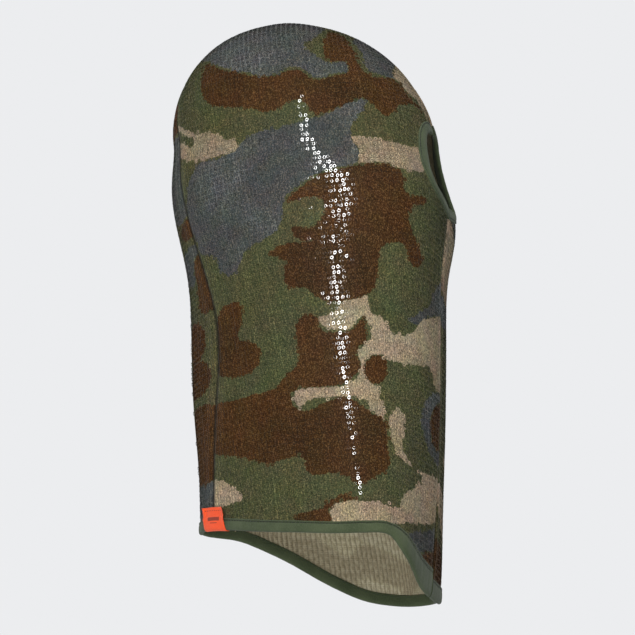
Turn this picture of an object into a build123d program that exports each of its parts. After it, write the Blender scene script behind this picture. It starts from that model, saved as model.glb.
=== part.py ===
"""Knitted camouflage balaclava: two side panels, a back gusset, a bound eye opening and a bound, pointed hem.

Frame, in millimetres: +Z up, the face looks along -Y, the wearer's right is -X. The origin is the point inside the
crown where the top of the head touches the cloth. The mask is drawn filled out, as it sits on a head.

The cloth is a shell between two nested forms. Every other sewn part is a slice of a slightly larger or smaller
nested form, so that it follows the cloth it is sewn to.
"""

from build123d import *
from functools import lru_cache
import math
import os

# ---------------------------------------------------------------- driving dimensions
CLOTH = 1.2  # thickness of the knitted cloth
TAPE = 0.9  # thickness of one layer of binding tape
TAPE_WIDTH = 8.0  # width of the tape beside an edge
TAPE_LIP = 1.0  # how far the folded tape stands past the cloth's cut edge
ALLOWANCE = 1.4  # thickness of the overlocked seam allowance inside
ALLOWANCE_WIDTH = 7.0  # its width across a seam

DOME_HEIGHT = 104.2  # from the crown's outer face down to the widest level of the head
DOME_STEPS = [9, 20, 33, 47, 62, 77]  # degrees round the dome's profile, from the crown down
SECTION_POINTS = 20

# Level, half width, front, place of the greatest width, back, and how blunt the front and the back of the section
# are: 2 is an ellipse, more is blunter, less is more pointed. The first level is the widest part of the head.
LEVELS = [
    (-103, 77.0, -126.0, -28.0, 89.5, 2.00, 2.00),
    (-135, 77.0, -133.0, -30.0, 90.5, 2.30, 2.00),
    (-172, 76.0, -138.5, -34.0, 86.0, 3.50, 1.95),
    (-214, 73.5, -134.0, -41.0, 78.0, 3.20, 1.85),
    (-262, 71.0, -131.5, -49.0, 75.0, 2.80, 1.72),
    (-315, 71.5, -130.0, -60.0, 72.5, 2.50, 1.65),
    (-368, 75.5, -128.0, -71.0, 68.0, 2.40, 1.60),
    (-420, 81.5, -125.5, -81.0, 65.5, 2.30, 1.55),
    (-470, 87.0, -122.0, -87.0, 62.0, 2.30, 1.55),
    (-520, 90.0, -115.0, -91.0, 58.5, 2.30, 1.55),
]

# Eye opening, right half of the cloth's cut edge seen from the front, from the brow to the point over the nose.
EYE_EDGE = [(0, -105), (12, -107), (20, -114), (26, -126), (32, -140), (36, -152), (34, -161), (24, -166), (0, -171)]

# Lower edge of the cloth seen from the side, from the back to the point of the bib. Soft cloth does not hang even:
# the right side runs flatter and turns down later than the left side.
HEM_RIGHT = [(95, -425), (64, -426), (42, -431), (2, -442), (-38, -450), (-73, -455), (-99, -456), (-107, -457.5),
             (-112.5, -465), (-116.5, -473), (-119, -481), (-120.5, -488)]
HEM_LEFT = [(95, -425), (64, -425), (44, -424), (30, -428), (6, -439), (-14, -451), (-31, -460), (-48, -467),
            (-66, -470.5), (-83, -472), (-101, -472.5), (-109, -474), (-115, -479), (-119, -484), (-120.5, -488)]
HEM_RUN_OUT = (-137, -516)  # the cut carries straight on past the point of the bib

# Back gusset, half outline seen from behind, from its tip on the crown down past the hem.
GUSSET = [(0, -2), (14, -22), (26, -62), (35, -110), (39, -160), (39.5, -210), (42, -255), (39.5, -300), (33, -350),
          (29, -400), (27, -450), (26, -540)]

LABEL_WIDTH = 23.0
LABEL_RISE = 16.5  # how far the label stands above the cut edge outside
LABEL_INSIDE = 7.5  # and inside, where it ends on the tape
LABEL_THICKNESS = 0.5
LABEL_CENTRE = (-31.0, 46.0)  # on the right back seam
LABEL_TURN = 37.0  # degrees between the label's plane and the side of the mask

FAR = 300.0  # longer than any reach of the mask, for cutting bodies


# ---------------------------------------------------------------- the filled-out form
def dome_level(angle, off):
    """A level of the dome above the widest part of the head, in the same terms as LEVELS."""
    height, half, front, widest, back = LEVELS[0][:5]
    share, rise = math.sin(math.radians(angle)), math.cos(math.radians(angle))
    middle, reach = (front + back) / 2, (back - front) / 2 + off
    centre = middle * (1 - rise)  # the crown lies over the origin
    broad = centre + (widest - middle) * share
    top = height + (DOME_HEIGHT + off) * rise
    return top, (half + off) * share, centre - reach * share, broad, centre + reach * share, 2.0, 2.0


def section(height, half, front, widest, back, n_front, n_back):
    """The closed outline at one level: one curve in front of the greatest width and another behind it."""
    points = []
    for i in range(SECTION_POINTS):
        a = 2 * math.pi * i / SECTION_POINTS
        s, c = math.sin(a), math.cos(a)
        n, reach = (n_back, back - widest) if c >= 0 else (n_front, widest - front)
        x = half * math.copysign(abs(s) ** (2 / n), s)
        y = widest + reach * math.copysign(abs(c) ** (2 / n), c)
        points.append(Vector(x, y, height))
    return Wire([Edge.make_spline(points, periodic=True)])


@lru_cache(maxsize=None)
def form(off):
    """The solid inside the surface that lies this far outside the cloth's outer face. Below 0 it is inside it."""
    wires = [section(*dome_level(a, off)) for a in DOME_STEPS]
    for height, half, front, widest, back, n_front, n_back in LEVELS:
        wires.append(section(height, half + off, front - off, widest, back + off, n_front, n_back))
    crown = Vertex(0, 0, LEVELS[0][0] + DOME_HEIGHT + off)
    return Solid.make_loft([crown] + wires)


# ---------------------------------------------------------------- outlines and the bodies cut from them
def beside(edge, grow, steps=18):
    """Points of a line that runs at a constant distance on the right-hand side of a flat curve."""
    points = []
    for i in range(steps + 1):
        place, along = edge.position_at(i / steps), edge.tangent_at(i / steps)
        points.append(Vector(place.X + grow * along.Y, place.Y - grow * along.X, 0))
    return points


def meet_middle(points, along):
    """Carry a row of points on, or cut it short, so that it ends on the middle line x = 0."""
    kept = [p for p in points if p.X < -0.5]
    last = points[-1]
    return kept + [Vector(0, last.Y - last.X * along.Y / along.X, 0)]


def mirrored(points):
    return [Vector(-p.X, p.Y, 0) for p in points]


def eye_body(grow):
    """A body through the front with the outline of the eye opening, grown; the corner over the nose is mitred."""
    half = Edge.make_spline([Vector(-x, z, 0) for x, z in EYE_EDGE], tangents=[Vector(-1, 0, 0), Vector(1, -0.3, 0)])
    points = beside(half, grow)
    points = [Vector(0, points[0].Y, 0)] + meet_middle(points[1:], half.tangent_at(1))
    ends = [Vector(-1, 0, 0), Vector(1, -0.3, 0)]
    right = Edge.make_spline(points, tangents=ends)
    left = Edge.make_spline(mirrored(points), tangents=[Vector(1, 0, 0), Vector(-1, -0.3, 0)])
    return extrude(Plane.XZ * Face(Wire([right, left])), amount=FAR, dir=(0, -1, 0))


def hem_body(outline, side, grow):
    """Everything below the lower edge on one side, grown by this much. side is -1 for the right, 1 for the left."""
    edge = Edge.make_spline([Vector(y, z, 0) for y, z in outline])
    points = beside(edge, grow)
    first, last = points[0], points[-1]
    ahead = Vector(*HEM_RUN_OUT, 0) - Vector(*outline[-1], 0)
    corners = [last, last + ahead, Vector(-FAR, -2 * FAR, 0), Vector(first.X, -2 * FAR, 0), first]
    run = [Edge.make_line(a, b) for a, b in zip(corners, corners[1:])]
    face = Face(Wire([Edge.make_spline(points)] + run))
    return extrude(Plane.YZ * face, amount=FAR, dir=(side, 0, 0))


def gusset_body(grow):
    """The back gusset's outline, grown by this much, as a body through the back of the mask."""
    half = Edge.make_spline([Vector(-x, z, 0) for x, z in GUSSET])
    points = beside(half, grow)
    points = [Vector(0, GUSSET[0][1] + grow, 0)] + [p for p in points if p.X < -1.0]
    right = Edge.make_spline(points)
    left = Edge.make_spline(mirrored(points))
    foot = Edge.make_line(right @ 1, left @ 1)
    return extrude(Plane.XZ * Face(Wire([right, foot, left])), amount=FAR, dir=(0, 1, 0))


def half_space(side):
    return Pos(side * FAR / 2, 0, -FAR) * Box(FAR, 2 * FAR, 3 * FAR)


def middle_slab(width):
    return Pos(0, 0, -FAR) * Box(width, 2 * FAR, 3 * FAR)


def label_slab(width):
    return Pos(*LABEL_CENTRE, -FAR) * Rot(0, 0, LABEL_TURN) * Box(30, width, 3 * FAR)


def only(name, shape):
    """The one solid of a result; crumbs under 2 cubic millimetres are left over from cutting and are dropped."""
    solids = [s for s in shape.solids() if s.volume > 2.0]
    if len(solids) != 1:
        raise ValueError(name + ": expected one solid, got " + str([round(s.volume) for s in shape.solids()]))
    return solids[0]


# ---------------------------------------------------------------- the parts
HEMS = {-1: HEM_RIGHT, 1: HEM_LEFT}
SIDES = {-1: "right", 1: "left"}


@lru_cache(maxsize=None)
def half_shell(outside, inside, side):
    """One side of the layer between two nested forms, both given as offsets from the cloth's outer face."""
    return (form(outside) - form(inside)) & half_space(side)


def hem(side, grow):
    return hem_body(HEMS[side], side, grow)


def cut_cloth(side):
    """One side of the cloth with the eye opening and the lower edge cut, the gusset still joined on."""
    return half_shell(0, -CLOTH, side) - eye_body(0) - hem(side, 0)


def edge_parts(cloth, gusset):
    """Binding tape, folded over both faces of each cut edge."""
    parts, behind = {}, None
    for side, name in SIDES.items():
        fat = half_shell(TAPE, -CLOTH - TAPE, side)
        parts["eye_binding_" + name] = (fat & eye_body(TAPE_WIDTH)) - eye_body(-TAPE_LIP) - cloth[side]
        tape = (fat & hem(side, TAPE_WIDTH)) - hem(side, -TAPE_LIP) - cloth[side]
        if side < 0:  # the tape is joined at the right back seam, under the label, not at the back
            behind, tape = tape & gusset, tape - gusset
        else:
            tape = tape + behind
        parts["hem_binding_" + name] = tape
    return parts


def seam_parts():
    """Overlocked seam allowances on the inner face, ending where the binding tape begins."""
    parts, reach = {}, ALLOWANCE_WIDTH / 2
    wide, narrow = gusset_body(reach), gusset_body(-reach)
    over_crown = Pos(0, 0, -50) * Box(20, 2 * FAR, 130)
    down_front = Pos(0, -100, -340) * Box(20, 180, 360)
    middle = {}
    for side, name in SIDES.items():
        lining = half_shell(-CLOTH, -CLOTH - ALLOWANCE, side) - eye_body(TAPE_WIDTH) - hem(side, TAPE_WIDTH)
        parts[name + "_back_seam"] = (lining & wide) - narrow
        middle[side] = (lining & middle_slab(ALLOWANCE_WIDTH)) - wide
    parts["crown_seam"] = (middle[-1] & over_crown) + (middle[1] & over_crown)
    parts["front_seam"] = (middle[-1] & down_front) + (middle[1] & down_front)
    return parts


def label_part():
    """One woven strip folded over the bound edge at the right back seam."""
    folded = half_shell(TAPE + LABEL_THICKNESS, -CLOTH - TAPE - LABEL_THICKNESS, -1) & label_slab(LABEL_WIDTH)
    strip = (folded & hem(-1, LABEL_RISE)) - hem(-1, -TAPE_LIP - LABEL_THICKNESS)
    wrapped = half_shell(TAPE, -CLOTH - TAPE, -1) - hem(-1, -TAPE_LIP)
    inside = (form(-CLOTH / 2) & half_space(-1)) - hem(-1, LABEL_INSIDE)
    return strip - wrapped - inside


def make_parts():
    gusset = gusset_body(0)
    cloth = {side: cut_cloth(side) for side in SIDES}
    parts = {name + "_side_panel": cloth[side] - gusset for side, name in SIDES.items()}
    parts["back_gusset"] = (cloth[-1] & gusset) + (cloth[1] & gusset)
    parts.update(edge_parts(cloth, gusset))
    parts.update(seam_parts())
    parts["hem_label"] = label_part()
    return {name: only(name, shape) for name, shape in parts.items()}


if __name__ == "__main__":
    os.makedirs("parts", exist_ok=True)
    for name, solid in make_parts().items():
        box = solid.bounding_box()
        print(name, "volume %.0f" % solid.volume, "faces", len(solid.faces()), "valid", solid.is_valid,
              "x %.1f %.1f  y %.1f %.1f  z %.1f %.1f" % (box.min.X, box.max.X, box.min.Y, box.max.Y, box.min.Z,
                                                        box.max.Z))
        export_step(solid, "parts/" + name + ".step")
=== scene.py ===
"""Camouflage balaclava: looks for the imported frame, in metres, +Z up, the face towards -Y.

One skin function places everything: a point is a turn round the head and a distance down from the crown, with
an offset along the normal. The panels, the tape, the seams, the stitches and the clear rings all stand on it.
"""

import math
import random

import bpy
import numpy as np
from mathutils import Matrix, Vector


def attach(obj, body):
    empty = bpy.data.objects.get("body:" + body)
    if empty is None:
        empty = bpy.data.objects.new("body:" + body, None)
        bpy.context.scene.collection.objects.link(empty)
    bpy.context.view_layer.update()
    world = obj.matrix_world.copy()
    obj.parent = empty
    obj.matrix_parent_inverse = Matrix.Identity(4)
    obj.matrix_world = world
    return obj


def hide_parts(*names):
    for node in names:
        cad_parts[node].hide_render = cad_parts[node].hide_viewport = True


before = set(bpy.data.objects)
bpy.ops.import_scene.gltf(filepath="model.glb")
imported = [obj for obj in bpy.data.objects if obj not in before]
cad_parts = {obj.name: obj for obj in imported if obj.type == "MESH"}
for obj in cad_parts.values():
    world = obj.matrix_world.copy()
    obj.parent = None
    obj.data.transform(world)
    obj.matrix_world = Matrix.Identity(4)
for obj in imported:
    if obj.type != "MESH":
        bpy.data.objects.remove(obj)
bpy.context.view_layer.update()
rng = random.Random(17)

MM = 0.001

# ---------------------------------------------------------------- the form, the same as the CAD's, in millimetres
# Level, half width, front, place of the greatest width, back, bluntness in front and behind.
LEVELS = np.array([
    (-103, 77.0, -126.0, -28.0, 89.5, 2.00, 2.00),
    (-135, 77.0, -133.0, -30.0, 90.5, 2.30, 2.00),
    (-172, 76.0, -138.5, -34.0, 86.0, 3.50, 1.95),
    (-214, 73.5, -134.0, -41.0, 78.0, 3.20, 1.85),
    (-262, 71.0, -131.5, -49.0, 75.0, 2.80, 1.72),
    (-315, 71.5, -130.0, -60.0, 72.5, 2.50, 1.65),
    (-368, 75.5, -128.0, -71.0, 68.0, 2.40, 1.60),
    (-420, 81.5, -125.5, -81.0, 65.5, 2.30, 1.55),
    (-470, 87.0, -122.0, -87.0, 62.0, 2.30, 1.55),
    (-520, 90.0, -115.0, -91.0, 58.5, 2.30, 1.55),
])
DOME_HEIGHT = 104.2
DOME_ARC = 150.0  # length down the dome from the crown to the widest level
CLOTH = 1.2

EYE_EDGE = [(0, -105), (12, -107), (20, -114), (26, -126), (32, -140), (36, -152), (34, -161), (24, -166),
            (0, -171)]
HEM_RIGHT = [(95, -425), (64, -426), (42, -431), (2, -442), (-38, -450), (-73, -455), (-99, -456), (-107, -457.5),
             (-112.5, -465), (-116.5, -473), (-119, -481), (-120.5, -488), (-135, -512)]
HEM_LEFT = [(95, -425), (64, -425), (44, -424), (30, -428), (6, -439), (-14, -451), (-31, -460), (-48, -467),
            (-66, -470.5), (-83, -472), (-101, -472.5), (-109, -474), (-115, -479), (-119, -484), (-120.5, -488),
            (-135, -512)]
GUSSET = [(0, -2), (14, -22), (26, -62), (35, -110), (39, -160), (39.5, -210), (42, -255), (39.5, -300), (33, -350),
          (29, -400), (27, -450), (26, -540)]


def natural_spline(x, y):
    """Second derivatives of the natural cubic spline through rising x."""
    n, h = len(x), np.diff(x)
    m, r = np.eye(n), np.zeros((n,) + np.shape(y)[1:])
    for i in range(1, n - 1):
        m[i, i - 1:i + 2] = h[i - 1], 2 * (h[i - 1] + h[i]), h[i]
        r[i] = 6 * ((y[i + 1] - y[i]) / h[i] - (y[i] - y[i - 1]) / h[i - 1])
    return np.linalg.solve(m, r)


def spline_at(x, y, second, at):
    k = np.clip(np.searchsorted(x, at) - 1, 0, len(x) - 2)
    h = x[k + 1] - x[k]
    a, b = (x[k + 1] - at) / h, (at - x[k]) / h
    if y.ndim > 1:
        h, a, b = h[..., None], a[..., None], b[..., None]
    return a * y[k] + b * y[k + 1] + ((a ** 3 - a) * second[k] + (b ** 3 - b) * second[k + 1]) * h * h / 6


def smooth_line(points, count):
    """Points along a smooth curve through the given ones."""
    p = np.array(points, float)
    d = np.concatenate([[0], np.cumsum(np.hypot(*np.diff(p, axis=0).T))])
    return spline_at(d, p, natural_spline(d, p), np.linspace(0, d[-1], count))


def dome_section(rise, share):
    height, half, front, widest, back = LEVELS[0][:5]
    middle, reach = (front + back) / 2, (back - front) / 2
    centre = middle * (1 - rise)
    two = np.full_like(share, 2.0)
    return np.stack([half * share, centre - reach * share, centre + (widest - middle) * share,
                     centre + reach * share, two, two], -1)


RISES = np.array([0.5, 0.25])  # two levels of the dome lead into the levels below, so that the join is smooth
UPPER = np.column_stack([LEVELS[0][0] + DOME_HEIGHT * RISES, dome_section(RISES, np.sqrt(1 - RISES ** 2))])
KNOTS = np.vstack([UPPER, LEVELS])[::-1]
KNOT_Z, KNOT_V = KNOTS[:, 0].copy(), KNOTS[:, 1:].copy()
KNOT_2 = natural_spline(KNOT_Z, KNOT_V)


def section_at(m):
    """Height, half width, front, widest place, back and the two bluntnesses, m millimetres down from the crown."""
    m = np.asarray(m, float)
    t = np.clip(m / DOME_ARC, 0, 1) * math.pi / 2
    below = np.clip(m - DOME_ARC, 0, None)
    z = LEVELS[0][0] + DOME_HEIGHT * np.cos(t) - below
    dome = dome_section(np.cos(t), np.sin(t))
    tube = spline_at(KNOT_Z, KNOT_V, KNOT_2, z)
    share = np.clip((m - DOME_ARC * 0.9) / (DOME_ARC * 0.1), 0, 1)[..., None]
    return z, dome * (1 - share) + tube * share


def down(z):
    """The distance from the crown, along the side, to a height."""
    z = np.asarray(z, float)
    arc = np.arccos(np.clip((z - LEVELS[0][0]) / DOME_HEIGHT, 0, 1)) / (math.pi / 2) * DOME_ARC
    return np.where(z > LEVELS[0][0], arc, DOME_ARC + LEVELS[0][0] - z)


def base(a, m):
    """A point of the outer face before any folds. a turns from the back, 0, by the left, to the front, pi."""
    z, v = section_at(m)
    s, c = np.sin(a), np.cos(a)
    half, front, widest, back, n_front, n_back = np.moveaxis(v, -1, 0)
    n = np.where(c >= 0, n_back, n_front)
    reach = np.where(c >= 0, back - widest, widest - front)
    x = half * np.sign(s) * np.abs(s) ** (2 / n)
    y = widest + reach * np.sign(c) * np.abs(c) ** (2 / n)
    return np.stack([x, y, z + 0 * x], -1)


def turn_for_x(x, m, front=True):
    z, v = section_at(m)
    n = v[..., 4] if front else v[..., 5]
    s = np.clip(np.abs(x) / v[..., 0], 0, 1) ** (n / 2)
    a = np.arcsin(s) * np.sign(x)
    return math.pi - a if front else a


# ---------------------------------------------------------------- outlines
def beside(points, grow):
    """The line at a constant distance on the right-hand side of a row of points."""
    t = np.gradient(points, axis=0)
    t /= np.linalg.norm(t, axis=1)[:, None] + 1e-12
    return points + grow * np.column_stack([t[:, 1], -t[:, 0]])


EYE_HALF = smooth_line([(-x, z) for x, z in EYE_EDGE], 90)
EYE_HALF[0] = (0, EYE_EDGE[0][1])


def eye_outline(grow):
    """The right half of the eye opening grown by this much, from the brow to the middle over the nose."""
    p = beside(EYE_HALF, grow)
    p[0] = (0, EYE_EDGE[0][1] + grow)
    t = EYE_HALF[-1] - EYE_HALF[-2]
    last = p[-1] - t * p[-1][0] / t[0]
    return np.vstack([p[p[:, 0] < -0.3], last])


HEM_LINES = {-1: smooth_line(HEM_RIGHT, 200), 1: smooth_line(HEM_LEFT, 200)}
GUSSET_HALF = smooth_line([(-x, z) for x, z in GUSSET], 160)


def signed_distance(x, y, outline):
    """Distance from each point to a closed outline, more than 0 inside."""
    shape = np.shape(x)
    px, py = np.ravel(x), np.ravel(y)
    best, odd = np.full(px.shape, 1e9), np.zeros(px.shape, bool)
    for (ax, ay), (bx, by) in zip(outline, np.roll(outline, -1, axis=0)):
        dx, dy = bx - ax, by - ay
        t = np.clip(((px - ax) * dx + (py - ay) * dy) / (dx * dx + dy * dy + 1e-12), 0, 1)
        best = np.minimum(best, (px - ax - t * dx) ** 2 + (py - ay - t * dy) ** 2)
        if ay != by:
            odd ^= ((ay > py) != (by > py)) & (px < dx * (py - ay) / dy + ax)
    return (np.where(odd, 1, -1) * np.sqrt(best)).reshape(shape)


def closed(points, count=0):
    p = np.array(points, float)
    if count:
        ring = np.vstack([p[-2:], p, p[:2]])
        d = np.concatenate([[0], np.cumsum(np.hypot(*np.diff(ring, axis=0).T))])
        return spline_at(d, ring, natural_spline(d, ring), np.linspace(d[2], d[-2], count, endpoint=False))
    return p


EYE_RING = np.vstack([EYE_HALF, (EYE_HALF * (-1, 1))[::-1]])
GUSSET_RING = np.vstack([GUSSET_HALF, (GUSSET_HALF * (-1, 1))[::-1]])
HEM_RINGS = {s: np.vstack([line, [(-300, -900), (95, -900)]]) for s, line in HEM_LINES.items()}


def clearances(p):
    """Millimetres from each point of the skin to the eye opening's edge, the hem and the gusset's seam (in +)."""
    x, y, z = np.moveaxis(p, -1, 0)
    front = y < -60
    eye = np.where(front, -signed_distance(x, z, EYE_RING), 999.0)
    hem = np.where(x < 0, -signed_distance(y, z, HEM_RINGS[-1]), -signed_distance(y, z, HEM_RINGS[1]))
    gusset = np.where(y > 0, signed_distance(x, z, GUSSET_RING), -999.0)
    return eye, hem, gusset


# ---------------------------------------------------------------- folds, and the skin that everything stands on
def bump_at(v, centre, width):
    return np.exp(-((v - centre) / width) ** 2)


def relief(a, m, p):
    """How far the soft cloth stands proud of the plain form, in millimetres."""
    x, y, z = np.moveaxis(p, -1, 0)
    side = np.sign(x)
    low = np.clip((m - 210) / 120, 0, 1)
    wave = 0.5 * np.sin(3 * a + z * 0.021 + side) + 0.4 * np.sin(5 * a - z * 0.034 + 2 * side)
    wave += 0.35 * np.sin(9 * a + 0.9 * np.sin(z * 0.02) + 1.3 * side) * low
    fold = -1.6 * bump_at(y - 26 - 0.16 * (z + 300), 0, 7) * bump_at(z, -285, 46)
    fold += 1.1 * bump_at(y - 37 - 0.16 * (z + 300), 0, 8) * bump_at(z, -290, 50)
    corner = 1.3 * bump_at(y, -104, 9) * np.clip((-z - 215) / 40, 0, 1)
    corner -= 0.9 * bump_at(y, -91, 8) * np.clip((-z - 215) / 40, 0, 1)
    quiet = np.clip(m / 60, 0, 1)
    return quiet * (wave + fold * (0.6 - 0.4 * side) + corner)


def skin(a, m, off=0.0, groove=None):
    """The place, in metres, off millimetres outside the cloth's outer face, and the normal there."""
    a, m = np.broadcast_arrays(np.asarray(a, float), np.asarray(m, float))
    e = 0.004

    def soft(a, m):
        p = base(a, m)
        return p, relief(a, m, p)

    p, r = soft(a, m)
    flat = np.cross(base(a, m - 0.6) - base(a, m + 0.6), base(a + e, m) - base(a - e, m))
    n = flat / (np.linalg.norm(flat, axis=-1, keepdims=True) + 1e-12)
    r = r if groove is None else r + groove
    return (p + n * (r + off)[..., None]) * MM, n


# ---------------------------------------------------------------- camouflage
# Patch outlines in millimetres on a plane square to the main camera's line of sight: along, towards the face,
# from the middle of the mask, and down from the crown. Later ones lie over earlier ones; the ground is green.
# These points came from a conversion script and not from driving dimensions, and they are due to be redrawn.
PATCHES = {
    "grey": [
        [(-97, 28), (-89, 30), (-75, 35), (-59, 38), (-34, 39), (-24, 34), (-11, 35), (-2, 42), (12, 39),
         (25, 35), (23, 30), (9, 30), (-2, 23), (-11, 16), (-1, 9), (5, -1), (-14, -16), (-44, -20),
         (-74, -8), (-90, 8)],
        [(28, 12), (34, 20), (39, 36), (53, 41), (64, 44), (72, 39), (64, 24), (50, 8), (36, 4)],
        [(39, 60), (18, 63), (7, 70), (-5, 74), (-34, 82), (-50, 86), (-63, 96), (-80, 106), (-96, 112),
         (-104, 132), (-104, 158), (-98, 173), (-92, 184), (-82, 186), (-80, 194), (-72, 201), (-63, 194),
         (-57, 180), (-47, 173), (-34, 166), (-28, 151), (-27, 141), (-20, 132), (-9, 123), (2, 118),
         (16, 114), (32, 111), (34, 102), (26, 86), (32, 74)],
        [(73, 237), (80, 241), (96, 235), (108, 230), (110, 207), (98, 210), (89, 225)],
        [(87, 300), (93, 294), (104, 297), (104, 356), (93, 346)],
        [(73, 406), (87, 405), (108, 406), (108, 425), (90, 422), (82, 425)],
        [(88, 442), (108, 442), (108, 472), (95, 468)],
    ],
    "beige": [
        [(61, 36), (66, 50), (72, 55), (77, 58), (82, 66), (90, 77), (103, 82), (103, 60), (86, 40), (69, 28)],
        [(-116, 78), (-102, 85), (-84, 86), (-74, 90), (-63, 96), (-80, 106), (-94, 109), (-108, 108),
         (-116, 102), (-108, 94), (-101, 97), (-100, 93), (-107, 89)],
        [(27, 90), (44, 90), (63, 94), (76, 98), (90, 101), (95, 108), (88, 116), (73, 117), (60, 112),
         (43, 110), (32, 111), (34, 102)],
        [(40, 215), (42, 228), (52, 234), (60, 246), (75, 246), (82, 238), (98, 234), (111, 236), (111, 295),
         (96, 290), (89, 274), (76, 273), (63, 270), (53, 267), (44, 263), (40, 267), (43, 276), (48, 286),
         (53, 308), (52, 318), (44, 314), (40, 302), (27, 298), (9, 299), (-9, 302), (-14, 307), (-19, 302),
         (-18, 294), (-9, 290), (21, 288), (30, 283), (34, 274), (31, 262), (40, 254), (40, 238), (36, 234),
         (27, 242), (16, 244), (4, 240), (0, 234), (9, 231), (22, 220)],
        [(-83, 365), (-73, 365), (-66, 370), (-59, 378), (-68, 383), (-84, 386)],
        [(9, 388), (16, 381), (36, 380), (53, 383), (64, 386), (68, 376), (80, 369), (84, 362), (68, 349),
         (60, 337), (57, 324), (57, 314), (64, 306), (69, 311), (70, 324), (68, 337), (73, 349), (80, 356),
         (95, 360), (108, 367), (108, 394), (69, 399), (11, 399)],
    ],
    "brown": [
        [(-89, 32), (-92, 44), (-92, 58), (-75, 66), (-59, 67), (-34, 68), (-24, 62), (-12, 60), (-5, 70),
         (7, 70), (20, 64), (39, 60), (46, 66), (56, 74), (64, 66), (75, 64), (91, 78), (82, 66), (72, 55),
         (62, 44), (44, 41), (36, 36), (28, 18), (10, 2), (4, 17), (10, 30), (23, 30), (25, 35), (12, 40),
         (-2, 43), (-11, 37), (-24, 35), (-34, 40), (-59, 39), (-75, 36)],
        [(-27, 140), (-20, 134), (-9, 126), (2, 119), (16, 115), (32, 111), (44, 111), (60, 113), (68, 118),
         (69, 128), (73, 135), (88, 139), (89, 142), (82, 144), (73, 151), (75, 160), (80, 173), (82, 193),
         (76, 193), (72, 180), (63, 174), (53, 177), (50, 186), (48, 200), (44, 212), (34, 218), (21, 220),
         (9, 221), (-2, 218), (-9, 210), (-20, 210), (-27, 205), (-27, 189), (-41, 183), (-34, 178),
         (-20, 174), (-4, 173), (-21, 167), (-21, 162), (-9, 162), (0, 158), (6, 150), (4, 140), (-12, 139)],
        [(-14, 234), (0, 234), (2, 242), (16, 246), (27, 244), (36, 234), (40, 244), (38, 254), (31, 260),
         (34, 270), (28, 283), (18, 288), (-9, 290), (-20, 294), (-20, 302), (-11, 308), (9, 300), (27, 299),
         (41, 308), (56, 321), (56, 333), (56, 356), (44, 363), (30, 367), (21, 360), (-9, 356), (-12, 347),
         (-20, 346), (-34, 351), (-44, 351), (-59, 346), (-84, 342), (-84, 306), (-63, 299), (-44, 294),
         (-34, 291), (-24, 279), (-18, 274), (-16, 256)],
        [(-76, 225), (-63, 222), (-61, 240), (-63, 251), (-50, 254), (-44, 265), (-50, 276), (-63, 282),
         (-81, 279), (-84, 260), (-81, 236)],
        [(40, 267), (53, 265), (50, 286), (44, 286)],
        [(-18, 395), (-5, 388), (9, 381), (21, 374), (32, 378), (14, 382), (9, 388), (11, 395), (2, 404),
         (-14, 404)],
        [(98, 304), (109, 304), (109, 342), (98, 340)],
        [(82, 424), (90, 422), (108, 425), (108, 442), (88, 442)],
    ],
}
# The gusset's own cut of the cloth: across, from the middle, and down from the crown.
GUSSET_PATCHES = {
    "grey": [
        [(-46, 104), (-20, 98), (4, 108), (0, 140), (-14, 168), (-46, 172)],
        [(-46, 198), (-26, 196), (-8, 206), (-10, 222), (-30, 226), (-46, 220)],
        [(6, 20), (30, 26), (40, 60), (22, 78), (2, 52)],
        [(12, 330), (34, 336), (30, 380), (14, 396), (4, 366)],
        [(-30, 392), (-12, 388), (-4, 402), (-10, 424), (-30, 424)],
    ],
    "beige": [
        [(10, 110), (24, 104), (44, 116), (44, 150), (28, 158), (14, 140)],
        [(-2, 262), (14, 254), (30, 264), (42, 286), (20, 296), (4, 286)],
        [(-8, 44), (4, 40), (8, 58), (-4, 66)],
    ],
    "brown": [
        [(-46, 174), (-30, 176), (-24, 184), (-34, 190), (-46, 186)],
        [(-46, 202), (-36, 206), (-30, 228), (-34, 254), (-46, 252)],
        [(-28, 260), (-14, 256), (-4, 268), (-8, 286), (-24, 290)],
        [(-32, 294), (-12, 290), (2, 300), (-4, 314), (-32, 314)],
        [(-36, 332), (-14, 326), (4, 336), (8, 366), (-6, 388), (-34, 388)],
        [(8, 168), (30, 164), (46, 176), (46, 226), (26, 240), (10, 216), (14, 192)],
        [(-20, 64), (-6, 72), (-4, 90), (-22, 98), (-36, 88)],
        [(20, 400), (36, 392), (36, 440), (12, 440)],
    ],
}
# The left panel is the same print upside down, with one more patch over the corner of its hem.
LEFT_PATCHES = {"brown": [[(52, -40), (112, -40), (112, 26), (96, 38), (82, 26), (70, 30), (62, 16), (46, 4)]]}
COLOURS = ("grey", "beige", "brown")
DRAWN_AZIMUTH, DRAWN_RISE, DRAWN_FROM = math.radians(15), math.radians(19), 2600.0
DRAWN_ABOUT = np.array([0.0, -30.0, -252.9])
DRAWN_ORIGIN = 234.0  # the crown lies this far above the point that the drawing is made about
LEAST_SLANT = 0.55  # past the outline the pattern runs on at this share of its length, so that it never smears


def drawn(p):
    """Where a point lies on the drawing plane, seen from the main camera's place, which uses these constants."""
    ca, sa, ce, se = (f(v) for v in (DRAWN_AZIMUTH, DRAWN_RISE) for f in (math.cos, math.sin))
    toward = np.array([-ca * ce, -sa * ce, -se])
    along = np.array([sa, -ca, 0.0])
    up = np.cross(along, -toward)
    q = p - DRAWN_ABOUT
    scale = DRAWN_FROM / (DRAWN_FROM - q @ toward)
    return (q @ along) * scale, DRAWN_ORIGIN - (q @ up) * scale


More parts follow.
